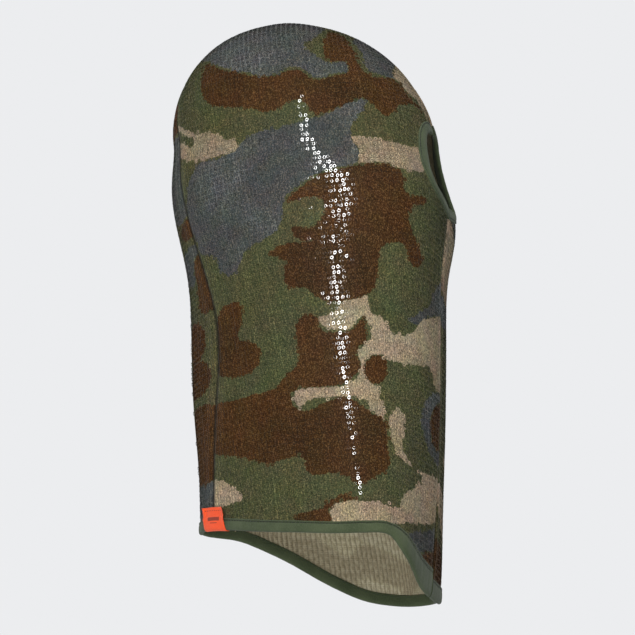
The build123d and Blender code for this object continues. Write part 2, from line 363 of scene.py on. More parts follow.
class Drawing:
    """The drawing carried round the right side of the mask: smooth tables of along and down by turn and level."""

    def __init__(self):
        self.m = np.linspace(0.2, 620, 250)
        self.t = np.linspace(0, math.pi, 181)  # from the back to the front
        t, m = np.meshgrid(self.t, self.m, indexing="ij")
        p = base(-t, m)
        along, down_ = drawn(p)
        middle = len(self.t) // 2
        step = np.linalg.norm(np.diff(p, axis=0), axis=-1)
        da = np.maximum(np.diff(along, axis=0), LEAST_SLANT * step)
        out = np.zeros_like(along)
        out[1:] = np.cumsum(da, axis=0)
        self.along = out - out[middle] + along[middle]
        top = int(np.searchsorted(self.m, DOME_ARC))
        rise = np.linalg.norm(np.diff(p, axis=1), axis=-1)
        dd = np.diff(down_, axis=1)
        dd[:, :top] = np.maximum(dd[:, :top], LEAST_SLANT * rise[:, :top])
        out = np.zeros_like(down_)
        out[:, 1:] = np.cumsum(dd, axis=1)
        self.down = out - out[:, top:top + 1] + down_[:, top:top + 1]

    def at(self, a, m):
        t = np.abs((np.asarray(a) + math.pi) % (2 * math.pi) - math.pi)
        i = np.clip(t / math.pi * (len(self.t) - 1), 0, len(self.t) - 1.001)
        j = np.clip((m - self.m[0]) / (self.m[1] - self.m[0]), 0, len(self.m) - 1.001)
        i0, j0 = i.astype(int), j.astype(int)
        fi, fj = i - i0, j - j0

        def mix(g):
            return ((g[i0, j0] * (1 - fi) + g[i0 + 1, j0] * fi) * (1 - fj)
                    + (g[i0, j0 + 1] * (1 - fi) + g[i0 + 1, j0 + 1] * fi) * fj)

        return mix(self.along), mix(self.down)


DRAWING = Drawing()


def layered(u, v, patches):
    """For each colour, how far each point lies inside its visible patches, in millimetres."""
    fields = {c: np.full(np.shape(u), -60.0) for c in COLOURS}
    for colour in COLOURS:
        for outline in patches[colour]:
            ring = closed(outline, 6 * len(outline))
            near = signed_distance(u, v, ring)
            for c in COLOURS:
                fields[c] = np.maximum(fields[c], near) if c == colour else np.minimum(fields[c], -near)
    return fields


def camo(a, m, p, part):
    """The pattern's fields on one piece of cloth. Each was cut from another place of the print."""
    if part == "back_gusset":
        return layered(p[..., 0], -p[..., 2], GUSSET_PATCHES)
    u, v = DRAWING.at(a, m)
    if part == "left_side_panel":
        return layered(u, 446 - v, {c: PATCHES[c] + LEFT_PATCHES.get(c, []) for c in COLOURS})
    return layered(u, v, PATCHES)


# ---------------------------------------------------------------- mesh helpers
def new_object(name, verts, faces, smooth=True):
    mesh = bpy.data.meshes.new(name)
    mesh.from_pydata([tuple(v) for v in np.asarray(verts).tolist()], [], faces)
    mesh.update()
    if smooth:
        mesh.polygons.foreach_set("use_smooth", [True] * len(mesh.polygons))
    ob = bpy.data.objects.new(name, mesh)
    bpy.context.scene.collection.objects.link(ob)
    return ob


def face_outward(ob):
    """Turns a closed mesh's faces out when they all look in."""
    mesh = ob.data
    mesh.calc_loop_triangles()
    co = np.zeros(len(mesh.vertices) * 3)
    mesh.vertices.foreach_get("co", co)
    tri = np.zeros(len(mesh.loop_triangles) * 3, np.int32)
    mesh.loop_triangles.foreach_get("vertices", tri)
    p, q, r = co.reshape(-1, 3)[tri.reshape(-1, 3)].transpose(1, 0, 2)
    if (p * np.cross(q, r)).sum() < 0:
        mesh.flip_normals()


def add_field(ob, name, values):
    layer = ob.data.attributes.new(name, "FLOAT", "POINT")
    layer.data.foreach_set("value", np.asarray(values, np.float32))


def add_uv(ob, uv):
    layer = ob.data.uv_layers.new(name="cloth")
    index = np.zeros(len(ob.data.loops), np.int32)
    ob.data.loops.foreach_get("vertex_index", index)
    layer.data.foreach_set("uv", np.asarray(uv, np.float32)[index].ravel())


def finish_piece(ob, material):
    ob.data.materials.append(material)
    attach(ob, "root")
    return ob


def cut_grid(field):
    """Keeps the part of a grid where the field is at least 0. Returns grid places and polygons."""
    ni, nj = field.shape
    inside = field >= 0
    number = np.full((ni, nj), -1)
    places = np.argwhere(inside).astype(float)
    number[inside] = np.arange(len(places))
    places = [tuple(p) for p in places]
    full = inside[:-1, :-1] & inside[1:, :-1] & inside[1:, 1:] & inside[:-1, 1:]
    some = inside[:-1, :-1] | inside[1:, :-1] | inside[1:, 1:] | inside[:-1, 1:]
    i, j = np.nonzero(full)
    polys = np.stack([number[i, j], number[i + 1, j], number[i + 1, j + 1], number[i, j + 1]], 1).tolist()
    crossing = {}

    def cross(p, q):
        key = (p, q) if p < q else (q, p)
        if key not in crossing:
            f, g = field[p], field[q]
            t = min(max(f / (f - g), 0.02), 0.98)
            crossing[key] = len(places)
            places.append((p[0] + (q[0] - p[0]) * t, p[1] + (q[1] - p[1]) * t))
        return crossing[key]

    for i, j in np.argwhere(some & ~full):
        ring = [(i, j), (i + 1, j), (i + 1, j + 1), (i, j + 1)]
        poly = []
        for p, q in zip(ring, ring[1:] + ring[:1]):
            if inside[p]:
                poly.append(int(number[p]))
            if inside[p] != inside[q]:
                poly.append(cross(p, q))
        if len(poly) > 2:
            polys.append(poly)
    return np.array(places), polys


def rim_of(polys):
    """The directed edges that belong to one polygon only."""
    edges = set()
    for poly in polys:
        for e in zip(poly, poly[1:] + poly[:1]):
            if (e[1], e[0]) in edges:
                edges.remove((e[1], e[0]))
            else:
                edges.add(e)
    return edges


GRID = 2.2  # millimetres between the cloth's mesh points


def cloth_piece(part, lo, hi):
    """One panel as a closed thin sheet, with the fields of its pattern and its distance from its seams."""
    m = np.arange(0.25, 600, GRID)
    a = np.linspace(lo, hi, int(280 * (hi - lo) / math.pi))
    A, M = np.meshgrid(a, m, indexing="ij")
    P = base(A, M)
    eye, hem, gusset = clearances(P)
    side = {"right_side_panel": -P[..., 0], "left_side_panel": P[..., 0]}.get(part)
    kept = np.minimum(eye, hem)
    kept = np.minimum(kept, gusset) if side is None else np.minimum(kept, np.minimum(-gusset, side))
    places, polys = cut_grid(kept)
    pa = lo + places[:, 0] * (a[1] - a[0])
    pm = 0.25 + places[:, 1] * GRID
    p = base(pa, pm)
    eye, hem, gusset = clearances(p)
    seam = np.abs(gusset) if side is None else np.minimum(np.abs(gusset), np.abs(p[:, 0]))
    groove = -1.0 * np.exp(-(seam / 1.7) ** 2) + 0.25 * np.exp(-((seam - 5) / 2.5) ** 2)
    top, n = skin(pa, pm, 0.0, groove)
    under = top - n * CLOTH * MM
    count = len(top)
    faces = polys + [[i + count for i in poly][::-1] for poly in polys]
    faces += [[q, r, r + count, q + count] for r, q in rim_of(polys)]
    ob = new_object(part + "_cloth", np.vstack([top, under]), faces)
    face_outward(ob)
    fields = camo(pa, pm, p, part)
    for c in COLOURS:
        add_field(ob, c, np.tile(fields[c], 2))
    add_field(ob, "seam", np.tile(seam, 2))
    add_field(ob, "inner", np.concatenate([np.zeros(count), np.ones(count)]))
    add_uv(ob, np.tile(np.column_stack([pa * 75 * MM, pm * MM]), (2, 1)))
    return ob


class Lengths:
    """Length along the cloth at each level, from the side line, + towards the face."""

    def __init__(self):
        self.m = np.linspace(0.2, 620, 250)
        self.t = np.linspace(0, math.pi, 361)
        t, m = np.meshgrid(self.t, self.m, indexing="ij")
        step = np.linalg.norm(np.diff(base(t, m), axis=0), axis=-1)
        s = np.vstack([np.zeros(len(self.m)), np.cumsum(step, axis=0)])
        self.s = s - s[len(self.t) // 2]

    def row(self, m):
        j = np.clip((m - self.m[0]) / (self.m[1] - self.m[0]), 0, len(self.m) - 1.001)
        k = int(j)
        return self.s[:, k] * (1 - j + k) + self.s[:, k + 1] * (j - k)


LENGTHS = Lengths()


# ---------------------------------------------------------------- materials
def srgb(r, g, b):
    return tuple(((c / 255 + 0.055) / 1.055) ** 2.4 if c > 10 else c / 255 / 12.92 for c in (r, g, b)) + (1.0,)


GREEN, OLIVE = srgb(68, 73, 47), srgb(77, 76, 48)
GREY, GREY_LIT = srgb(66, 70, 70), srgb(86, 91, 91)
BEIGE, BEIGE_PINK = srgb(150, 136, 113), srgb(126, 112, 91)
BROWN, BROWN_DEEP = srgb(68, 43, 16), srgb(54, 35, 14)


class Nodes:
    """A small builder for a material's nodes."""

    def __init__(self, name):
        self.mat = bpy.data.materials.new(name)
        self.mat.use_nodes = True
        self.tree = self.mat.node_tree
        self.tree.nodes.clear()
        self.out = self.tree.nodes.new("ShaderNodeOutputMaterial")
        self.bsdf = self.tree.nodes.new("ShaderNodeBsdfPrincipled")
        self.tree.links.new(self.bsdf.outputs[0], self.out.inputs[0])

    def put(self, kind, **values):
        node = self.tree.nodes.new(kind)
        for key, value in values.items():
            setattr(node, key, value)
        return node

    def feed(self, node, socket, value):
        target = node.inputs[socket]
        if isinstance(value, bpy.types.NodeSocket):
            self.tree.links.new(value, target)
        else:
            target.default_value = value

    def math(self, op, a, b=0.0, c=None):
        node = self.put("ShaderNodeMath", operation=op)
        self.feed(node, 0, a)
        self.feed(node, 1, b)
        if c is not None:
            self.feed(node, 2, c)
        return node.outputs[0]

    def step(self, value, low, high, to_low=0.0, to_high=1.0):
        node = self.put("ShaderNodeMapRange", interpolation_type="SMOOTHSTEP")
        for k, v in enumerate((value, low, high, to_low, to_high)):
            self.feed(node, k, v)
        return node.outputs[0]

    def mix(self, fac, a, b, blend="MIX"):
        node = self.put("ShaderNodeMix", data_type="RGBA", blend_type=blend)
        self.feed(node, 0, fac)
        self.feed(node, 6, a)
        self.feed(node, 7, b)
        return node.outputs[2]

    def field(self, name):
        return self.put("ShaderNodeAttribute", attribute_type="GEOMETRY", attribute_name=name).outputs["Fac"]

    def colour_field(self, name):
        return self.put("ShaderNodeAttribute", attribute_type="GEOMETRY", attribute_name=name).outputs["Color"]

    def cloth_place(self, along=1.0, down_=1.0):
        uv = self.put("ShaderNodeUVMap", uv_map="cloth")
        scale = self.put("ShaderNodeMapping")
        self.feed(scale, 0, uv.outputs[0])
        scale.inputs["Scale"].default_value = (along, down_, 1.0)
        return scale.outputs[0]

    def object_place(self):
        return self.put("ShaderNodeTexCoord").outputs["Object"]

    def stretched(self, across, up):
        """The place with its height squeezed, so that a texture's marks stand taller than they are wide."""
        scale = self.put("ShaderNodeMapping")
        self.feed(scale, 0, self.object_place())
        scale.inputs["Scale"].default_value = (across, across, up)
        return scale.outputs[0]

    def noise(self, place, scale, detail=2.0, rough=0.5):
        node = self.put("ShaderNodeTexNoise")
        self.feed(node, "Vector", place)
        node.inputs["Scale"].default_value = scale
        node.inputs["Detail"].default_value = detail
        node.inputs["Roughness"].default_value = rough
        return node.outputs[0]

    def wave(self, place, scale, direction="X", distortion=0.0, detail_scale=1.0):
        node = self.put("ShaderNodeTexWave", wave_type="BANDS", bands_direction=direction, wave_profile="SIN")
        self.feed(node, "Vector", place)
        node.inputs["Scale"].default_value = scale
        node.inputs["Distortion"].default_value = distortion
        node.inputs["Detail Scale"].default_value = detail_scale
        return node.outputs["Fac"]

    def bump(self, height, strength, distance):
        node = self.put("ShaderNodeBump")
        self.feed(node, "Height", height)
        node.inputs["Strength"].default_value = strength
        node.inputs["Distance"].default_value = distance
        return node.outputs[0]


def speckled(k, colour):
    """Pale gold specks, partly the knit's pale threads and partly painted glints of the clear rings, and dark
    strands, running through every colour of the print at the size of the knit's loops.
    """
    # Pale specks: the knit's pale threads, and in part a painted reflection standing for small glints of the clear
    # rings.
    pale = k.step(k.noise(k.stretched(1.0, 0.72), 1080.0, 1.0, 0.6), 0.53, 0.62)
    bright = k.mix(0.22, k.mix(1.0, colour, (2.5, 2.3, 2.15, 1.0), "MULTIPLY"), srgb(136, 116, 82))
    colour = k.mix(k.math("MULTIPLY", pale, 0.85), colour, bright)
    dark = k.step(k.noise(k.stretched(1.0, 0.7), 900.0, 1.0), 0.48, 0.36)
    shaded = k.mix(1.0, colour, (0.35, 0.33, 0.30, 1.0), "MULTIPLY")
    colour = k.mix(k.math("MULTIPLY", dark, 0.75), colour, shaded)
    # Dye that took unevenly: reddish, olive and violet clouds a centimetre or two across.
    cloud = k.put("ShaderNodeTexNoise")
    k.feed(cloud, "Vector", k.object_place())
    cloud.inputs["Scale"].default_value = 60.0
    cloud.inputs["Detail"].default_value = 2.0
    tone = k.mix(0.2, (0.5, 0.5, 0.5, 1.0), cloud.outputs["Color"])
    return k.mix(0.9, colour, k.mix(1.0, tone, (2.0, 2.0, 2.0, 1.0), "MULTIPLY"), "MULTIPLY")


def camo_cloth():
    """Warp-knitted polyester, the print soaked into its stitches; the inside is the paler back of the knit, made
    paler still as painted light standing in for light coming through the mesh.
    """
    k = Nodes("camo_knit")
    place = k.cloth_place()
    wobble = k.math("MULTIPLY_ADD", k.noise(k.cloth_place(1.0, 0.55), 420.0, 2.0), 5.6, -2.8)
    drift = k.math("MULTIPLY_ADD", k.noise(place, 60.0, 1.0), 3.0, -1.5)
    ragged = k.math("ADD", wobble, drift)
    blotch = k.noise(k.object_place(), 14.0, 3.0)
    strands = k.noise(k.cloth_place(1.0, 0.3), 900.0, 2.0)
    pieces = {
        "ground": k.mix(k.step(blotch, 0.35, 0.65), GREEN, OLIVE),
        "grey": k.mix(k.step(blotch, 0.4, 0.7), GREY, GREY_LIT),
        "beige": k.mix(k.step(blotch, 0.4, 0.62), BEIGE, BEIGE_PINK),
        "brown": k.mix(k.step(blotch, 0.42, 0.66), BROWN, BROWN_DEEP),
    }
    colour = pieces["ground"]
    for name in COLOURS:
        fac = k.step(k.math("ADD", k.field(name), ragged), -0.1, 0.9)
        colour = k.mix(fac, colour, pieces[name])
    colour = speckled(k, colour)
    lines = k.step(k.noise(k.cloth_place(1.0, 0.03), 420.0, 1.0), 0.58, 0.68)
    lighter = k.mix(1.0, colour, (2.0, 1.95, 1.9, 1.0), "MULTIPLY")
    colour = k.mix(k.math("MULTIPLY", lines, 0.3), colour, lighter)
    gaps = k.wave(place, 150.0, "X", 1.0, 3.0)
    # Painted shade: the knit's gaps between its ribs are darkened as if in shadow.
    colour = k.mix(k.math("MULTIPLY", k.step(gaps, 0.3, 0.0), 0.22), colour, srgb(26, 24, 18))
    # Painted shade: darker along the seam's crease, within about a millimetre and a half of it.
    near_seam = k.step(k.field("seam"), 1.5, 0.2)
    colour = k.mix(k.math("MULTIPLY", near_seam, 0.75), colour, srgb(24, 24, 18))
    # The inside: the knit's paler back, with part of its brightness painted light standing in for light through the
    # mesh.
    under = k.mix(k.step(strands, 0.35, 0.65), srgb(214, 204, 172), srgb(182, 172, 140))
    under = k.mix(0.20, under, colour)
    under = k.mix(k.math("MULTIPLY", k.step(k.field("brown"), -3.0, 4.0), 0.30), under, srgb(70, 52, 32))
    # Painted shade: the knit's gaps on the inside are darkened as well.
    under = k.mix(k.math("MULTIPLY", k.step(gaps, 0.35, 0.05), 0.4), under, srgb(84, 76, 56))
    colour = k.mix(k.step(k.field("inner"), 0.4, 0.6), colour, under)
    k.feed(k.bsdf, "Base Color", colour)
    k.feed(k.bsdf, "Roughness", k.step(strands, 0.3, 0.7, 0.62, 0.9))
    k.bsdf.inputs["Specular IOR Level"].default_value = 0.25
    k.bsdf.inputs["Sheen Weight"].default_value = 0.06
    k.bsdf.inputs["Sheen Roughness"].default_value = 0.4
    rows = k.wave(place, 210.0, "Y", 2.0, 4.0)
    height = k.math("ADD", k.math("MULTIPLY", gaps, 0.7), k.math("MULTIPLY", rows, 0.35))
    height = k.math("ADD", height, k.math("MULTIPLY", strands, 0.9))
    k.feed(k.bsdf, "Normal", k.bump(height, 0.9, 0.0006))
    return k.mat


def clear_rings():
    """Small glossy rings of tinted clear film: they take the cloth's colour and glint under the lamps."""
    k = Nodes("clear_rings")
    tint = k.colour_field("tint")
    speck = k.noise(k.object_place(), 1500.0, 1.0)
    # The same specks as the cloth, partly pale threads and partly painted glints.
    k.feed(k.bsdf, "Base Color", speckled(k, tint))
    k.feed(k.bsdf, "Roughness", k.step(speck, 0.3, 0.7, 0.45, 0.6))
    k.bsdf.inputs["Specular IOR Level"].default_value = 0.2
    k.bsdf.inputs["Coat Weight"].default_value = 1.0
    k.bsdf.inputs["Coat Roughness"].default_value = 0.07
    return k.mat


def green_tape():
    k = Nodes("green_tape")
    place = k.cloth_place()
    fine = k.noise(k.cloth_place(1.0, 0.35), 1500.0, 2.0)
    worn = k.noise(place, 45.0, 3.0)
    colour = k.mix(k.step(worn, 0.3, 0.7), srgb(60, 71, 47), srgb(76, 86, 60))
    colour = k.mix(k.math("MULTIPLY", k.step(fine, 0.45, 0.62), 0.35), colour, srgb(92, 99, 74))
    # Painted shade: darker in the dip where the stitches pull the tape down.
    uv = k.put("ShaderNodeUVMap", uv_map="cloth")
    parts = k.put("ShaderNodeSeparateXYZ")
    k.feed(parts, 0, uv.outputs[0])
    dip = k.math("ABSOLUTE", k.math("SUBTRACT", parts.outputs[1], 0.0022))
    colour = k.mix(k.math("MULTIPLY", k.step(dip, 0.0010, 0.0002), 0.5), colour, srgb(28, 34, 22))
    k.feed(k.bsdf, "Base Color", colour)
    k.bsdf.inputs["Roughness"].default_value = 0.82
    k.bsdf.inputs["Specular IOR Level"].default_value = 0.3
    k.bsdf.inputs["Sheen Weight"].default_value = 0.12
    ribs = k.wave(place, 300.0, "X", 0.6, 2.0)
    height = k.math("ADD", k.math("MULTIPLY", ribs, 0.5), fine)
    k.feed(k.bsdf, "Normal", k.bump(height, 0.55, 0.0003))
    return k.mat


def thread(name, colour):
    k = Nodes(name)
    ply = k.noise(k.object_place(), 2600.0, 1.0)
    deep = tuple(c * 0.55 for c in colour[:3]) + (1.0,)
    k.feed(k.bsdf, "Base Color", k.mix(k.step(ply, 0.35, 0.65), colour, deep))
    k.bsdf.inputs["Roughness"].default_value = 0.55
    k.bsdf.inputs["Sheen Weight"].default_value = 0.2
    k.feed(k.bsdf, "Normal", k.bump(ply, 0.4, 0.0001))
    return k.mat


def overlock():
    k = Nodes("overlock_seam")
    place = k.cloth_place()
    loops = k.wave(place, 210.0, "Y", 3.0, 2.0)
    fine = k.noise(place, 1800.0, 2.0)
    colour = k.mix(k.step(loops, 0.3, 0.7), srgb(74, 70, 50), srgb(118, 108, 82))
    k.feed(k.bsdf, "Base Color", k.mix(k.math("MULTIPLY", fine, 0.4), colour, srgb(46, 44, 34)))
    k.bsdf.inputs["Roughness"].default_value = 0.85
    k.bsdf.inputs["Sheen Weight"].default_value = 0.15
    k.feed(k.bsdf, "Normal", k.bump(k.math("ADD", loops, fine), 0.8, 0.0005))
    return k.mat


def orange_label():
    """Damask-woven label with a broad woven bar and a thin one in place of any lettering."""
    k = Nodes("orange_label")
    place = k.cloth_place()
    weave = k.math("MULTIPLY", k.wave(place, 620.0, "X"), k.wave(place, 620.0, "Y"))
    fine = k.noise(place, 2200.0, 2.0)
    colour = k.mix(k.step(fine, 0.3, 0.7), srgb(246, 72, 18), srgb(255, 94, 34))
    bar = k.math("MULTIPLY", k.step(k.field("bar"), -0.1, 0.25), 0.85)
    colour = k.mix(bar, colour, srgb(112, 38, 20))
    k.feed(k.bsdf, "Base Color", colour)
    k.bsdf.inputs["Roughness"].default_value = 0.6
    k.bsdf.inputs["Specular IOR Level"].default_value = 0.4
    k.bsdf.inputs["Sheen Weight"].default_value = 0.15
    k.feed(k.bsdf, "Normal", k.bump(k.math("ADD", weave, fine), 0.5, 0.0002))
    return k.mat


CAMO = camo_cloth()
RINGS = clear_rings()
TAPE_CLOTH = green_tape()
TAPE_THREAD = thread("tape_thread", srgb(30, 37, 25))
LABEL_THREAD = thread("label_thread", srgb(120, 30, 22))
OVERLOCK = overlock()
LABEL_CLOTH = orange_label()


# ---------------------------------------------------------------- the three pieces of cloth
PARTS = {
    "right_side_panel": (-math.pi, 0.0),
    "left_side_panel": (0.0, math.pi),
    "back_gusset": (-1.25, 1.25),
}
for part, (lo, hi) in PARTS.items():
    finish_piece(cloth_piece(part, lo, hi), CAMO)
    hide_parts(part)


# ---------------------------------------------------------------- the clear rings
RING_PITCH = 4.15
RING_OUTER, RING_MIDDLE, RING_INNER = 1.6, 1.15, 0.7
RING_SIDES = 10
RING_RISE = 0.16


def ring_places():
    """Turn and level of every ring, column by column down the cloth, with each piece's columns its own."""
    found = {part: [] for part in PARTS}
    for m in np.arange(3.0, 596, RING_PITCH):
        s = LENGTHS.row(m)
        columns = np.arange(math.ceil(s[0] / RING_PITCH), math.floor(s[-1] / RING_PITCH) + 1) * RING_PITCH
        for side in (-1, 1):
            t = np.interp(columns + rng.uniform(-0.2, 0.2), s, LENGTHS.t)
            found["right_side_panel" if side < 0 else "left_side_panel"] += [(side * v, m) for v in t]
        half = s[-1] - s[0]
        across = np.arange(-14, 15) * RING_PITCH
        across = across[np.abs(across) < half]
        t = np.interp(s[0] + np.abs(across), s, LENGTHS.t)
        found["back_gusset"] += [(v * (1 if c >= 0 else -1), m) for v, c in zip(t, across)]
    return found


def ring_tints(fields, count):
    """The colour that shows through each ring, a little lighter or darker from one to the next."""
    tint = np.tile(np.array(GREEN[:3]), (count, 1))
    for name, colour in zip(COLOURS, (GREY, BEIGE, BROWN)):
        inside = fields[name] + np.array([rng.gauss(0, 0.7) for _ in range(count)]) > 0
        tint[inside] = colour[:3]
    shade = np.array([rng.uniform(0.8, 1.05) for _ in range(count)])[:, None]
    return tint * shade


def add_rings(part, places):
    a, m = np.array(places).T
    p = base(a, m)
    eye, hem, gusset = clearances(p)
    if part == "back_gusset":
        clear = np.minimum(gusset - 2.4, hem - 9.8)
    else:
        clear = np.minimum(np.minimum(eye, hem) - 9.8, np.minimum(-gusset, np.abs(p[:, 0])) - 2.4)
    keep = clear > 0
    a, m, p = a[keep], m[keep], p[keep]
    count = len(a)
    a = a + np.array([rng.gauss(0, 0.0035) for _ in range(count)])
    m = m + np.array([rng.gauss(0, 0.32) for _ in range(count)])
    tints = ring_tints(camo(a, m, p, part), count)
    centre, n = skin(a, m, RING_RISE)
    across = np.cross(np.array([0.0, 0.0, 1.0]), n)
    across /= np.linalg.norm(across, axis=1)[:, None]
    upward = np.cross(n, across)
    tilt_a = np.array([rng.gauss(0, 0.014) for _ in range(count)])[:, None]
    tilt_b = np.array([rng.gauss(0, 0.03) for _ in range(count)])[:, None]
    n = n + across * tilt_a + upward * tilt_b
    n /= np.linalg.norm(n, axis=1)[:, None]
    across = np.cross(upward, n)
    across /= np.linalg.norm(across, axis=1)[:, None]
    upward = np.cross(n, across)
    verts = []
    for radius, lift in ((RING_INNER, 0.0), (RING_MIDDLE, 0.014), (RING_OUTER, 0.0)):
        for k in range(RING_SIDES):
            w = 2 * math.pi * (k + 0.5) / RING_SIDES
            verts.append(centre + (across * math.cos(w) + upward * math.sin(w)) * radius * MM + n * lift * MM)
    verts = np.stack(verts, 1)
    one = []
    for band in range(2):
        for k in range(RING_SIDES):
            q, r = (k + 1) % RING_SIDES, RING_SIDES * band
            one.append((r + k, r + RING_SIDES + k, r + RING_SIDES + q, r + q))
    one, size = np.array(one), 3 * RING_SIDES
    order = np.argsort(m, kind="stable")
    pieces, share = [], 4600
    for number, start in enumerate(range(0, count, share)):
        chosen = order[start:start + share]
        faces = (one[None] + (np.arange(len(chosen)) * size)[:, None, None]).reshape(-1, 4)
        ob = new_object("%s_rings_%d" % (part, number + 1), verts[chosen].reshape(-1, 3), faces.tolist())
        layer = ob.data.attributes.new("tint", "FLOAT_COLOR", "POINT")
        colours = np.ones((len(chosen) * size, 4), np.float32)
        colours[:, :3] = np.repeat(tints[chosen], size, axis=0)
        layer.data.foreach_set("color", colours.ravel())
        pieces.append(finish_piece(ob, RINGS))
    return pieces


ring_pieces = {part: add_rings(part, places) for part, places in ring_places().items()}


# ---------------------------------------------------------------- tape, seams and stitches
def level_on_hem(a, side, rise):
    """The level where the line rise millimetres above the hem crosses each turn."""
    line = beside(HEM_LINES[side], rise)[::-1]
    lo, hi = np.full(a.shape, float(down(-380))), np.full(a.shape, float(down(-540)))
    for _ in range(40):
        mid = (lo + hi) / 2
        p = base(a, mid)
        below = p[..., 2] < np.interp(p[..., 1], line[:, 0], line[:, 1])
        lo, hi = np.where(below, lo, mid), np.where(below, mid, hi)
    return (lo + hi) / 2


def even_turns(lo, hi, level, step):
    """Turns from lo to hi that lie evenly along the cloth."""
    a = np.linspace(lo, hi, 400)
    p = base(a, level(a))
    s = np.concatenate([[0], np.cumsum(np.linalg.norm(np.diff(p, axis=0), axis=1))])
    return np.interp(np.linspace(0, s[-1], max(int(s[-1] / step), 4)), s, a)


def swept(name, rows, material, node=None):
    """A closed band: each row is the places of one line of its section, and the rows run once round the section."""
    rings = np.stack(rows, 1)
    count, around = rings.shape[:2]
    faces = []
    for i in range(count - 1):
        for k in range(around):
            q = (k + 1) % around
            faces.append((i * around + k, i * around + q, (i + 1) * around + q, (i + 1) * around + k))
    faces += [tuple(range(around)), tuple(range((count - 1) * around, count * around))[::-1]]
    ob = new_object(name, rings.reshape(-1, 3), faces)
    face_outward(ob)
    run = np.concatenate([[0], np.cumsum(np.linalg.norm(np.diff(rings[:, 0], axis=0), axis=1))])
    step = np.linalg.norm(np.diff(rings, axis=1, append=rings[:, :1]), axis=2)
    round_ = np.concatenate([np.zeros((count, 1)), np.cumsum(step, axis=1)[:, :-1]], axis=1)
    add_uv(ob, np.stack([np.repeat(run[:, None], around, 1), round_], -1).reshape(-1, 2))
    finish_piece(ob, material)
    if node:
        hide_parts(node)
    return ob


# The tape's section: distance from the cloth's cut edge and height over its outer face, round the fold.
TAPE_SECTION = [(8.0, 0.15), (8.05, 0.7), (7.4, 1.05), (6.75, 0.8), (6.3, 0.75), (5.8, 1.05), (4.4, 1.3), (2.4, 1.4),
                (0.6, 1.3), (-0.5, 0.8), (-1.0, -0.1), (-1.05, -0.9), (-0.7, -1.8), (0.4, -2.4), (2.4, -2.55),
                (4.6, -2.45), (6.2, -2.1), (6.8, -2.1), (7.5, -2.35), (8.05, -2.0), (8.0, -1.35)]
STITCH_FROM_EDGE = 6.5


def ripple(s, seed):
    return 0.16 * math.sin(s * 0.62 + seed) * math.sin(s * 0.171 + 2 * seed) + 0.06 * math.sin(s * 1.9 + seed)


def hem_row(turns, side, rise, off):
    m = level_on_hem(turns, side, rise)
    gather = np.array([ripple(i * 2.0, 1.3 * side) for i in range(len(turns))])
    return skin(turns, m, off + gather * (1 if off > 0 else -1))


def hem_turns(side):
    level = lambda a: level_on_hem(a, side, 0.0)
    end = side * math.pi
    start = 0.0 if side > 0 else gusset_turn(-1)
    return even_turns(start, end, level, 2.0)


def gusset_turn(side):
    """The turn where the gusset's seam meets the hem."""
    z = float(np.interp(46.0, HEM_LINES[side][::-1, 0], HEM_LINES[side][::-1, 1]))
    x = np.interp(-z, -GUSSET_HALF[:, 1], -GUSSET_HALF[:, 0])
    return float(turn_for_x(np.array(side * x), down(z), front=False))


def eye_place(side, grow, off, count=64):
    line = eye_outline(grow)
    d = np.concatenate([[0], np.cumsum(np.hypot(*np.diff(line, axis=0).T))])
    at = np.linspace(0, d[-1], count)
    x, z = np.interp(at, d, line[:, 0]), np.interp(at, d, line[:, 1])
    m = down(z)
    a = turn_for_x(x * -side, m)
    gather = np.array([ripple(v, 0.7 * side) for v in at])
    return skin(a, m, off + gather * (0.6 if off > 0 else -0.6))


tapes, stitches = {}, {}
for side, name in ((-1, "right"), (1, "left")):
    rows = [eye_place(side, d, off)[0] for d, off in TAPE_SECTION]
    tapes["eye_" + name] = swept("eye_tape_" + name, rows, TAPE_CLOTH, "eye_binding_" + name)
    turns = hem_turns(side)
    if side > 0:  # the left tape carries on behind, over the gusset, to the joint at the right back seam
        behind = even_turns(gusset_turn(-1), 0.0, lambda a: level_on_hem(a, -1, 0.0), 2.0)[:-1]
    rows = []
    for d, off in TAPE_SECTION:
        row = hem_row(turns, side, d, off)[0]
        if side > 0:
            row = np.vstack([hem_row(behind, -1, d, off)[0], row])
        rows.append(row)
    tapes["hem_" + name] = swept("hem_tape_" + name, rows, TAPE_CLOTH, "hem_binding_" + name)


def stitch_run(name, places, normals, material, slot, length=2.4, gap=0.9, radius=0.27):
    """A row of lockstitches: short rounded thread segments that dip into the cloth at their ends."""
    d = np.concatenate([[0], np.cumsum(np.linalg.norm(np.diff(places, axis=0), axis=1))]) / MM
    verts, faces = [], []
    start = 0.6
    while start + length < d[-1]:
        ring = []
        for k in range(7):
            f = k / 6
            at = start + f * length
            c = Vector([np.interp(at, d, places[:, i]) for i in range(3)])
            n = Vector([np.interp(at, d, normals[:, i]) for i in range(3)]).normalized()
            ahead = Vector([np.interp(at + 0.4, d, places[:, i]) for i in range(3)])
            along = (ahead - c).normalized()
            across = n.cross(along)
            fat = radius * math.sqrt(max(1 - (2 * f - 1) ** 2, 0.06)) * MM
            c = c + n * MM * (0.10 - 0.30 * (2 * f - 1) ** 2)
            ring.append([c + (across * math.cos(w) + n * math.sin(w)) * fat
                         for w in [2 * math.pi * q / 6 for q in range(6)]])
        first = len(verts)
        for r in ring:
            verts += [tuple(v) for v in r]
        for k in range(6):
            for q in range(6):
                w = (q + 1) % 6
                faces.append((first + k * 6 + q, first + k * 6 + w, first + k * 6 + 6 + w, first + k * 6 + 6 + q))
        faces += [tuple(range(first + 5, first - 1, -1)), tuple(range(first + 36, first + 42))]
        start += length + gap + rng.uniform(-0.1, 0.1)
    ob = new_object(name, verts, faces)
    face_outward(ob)
    return finish_piece(ob, material)


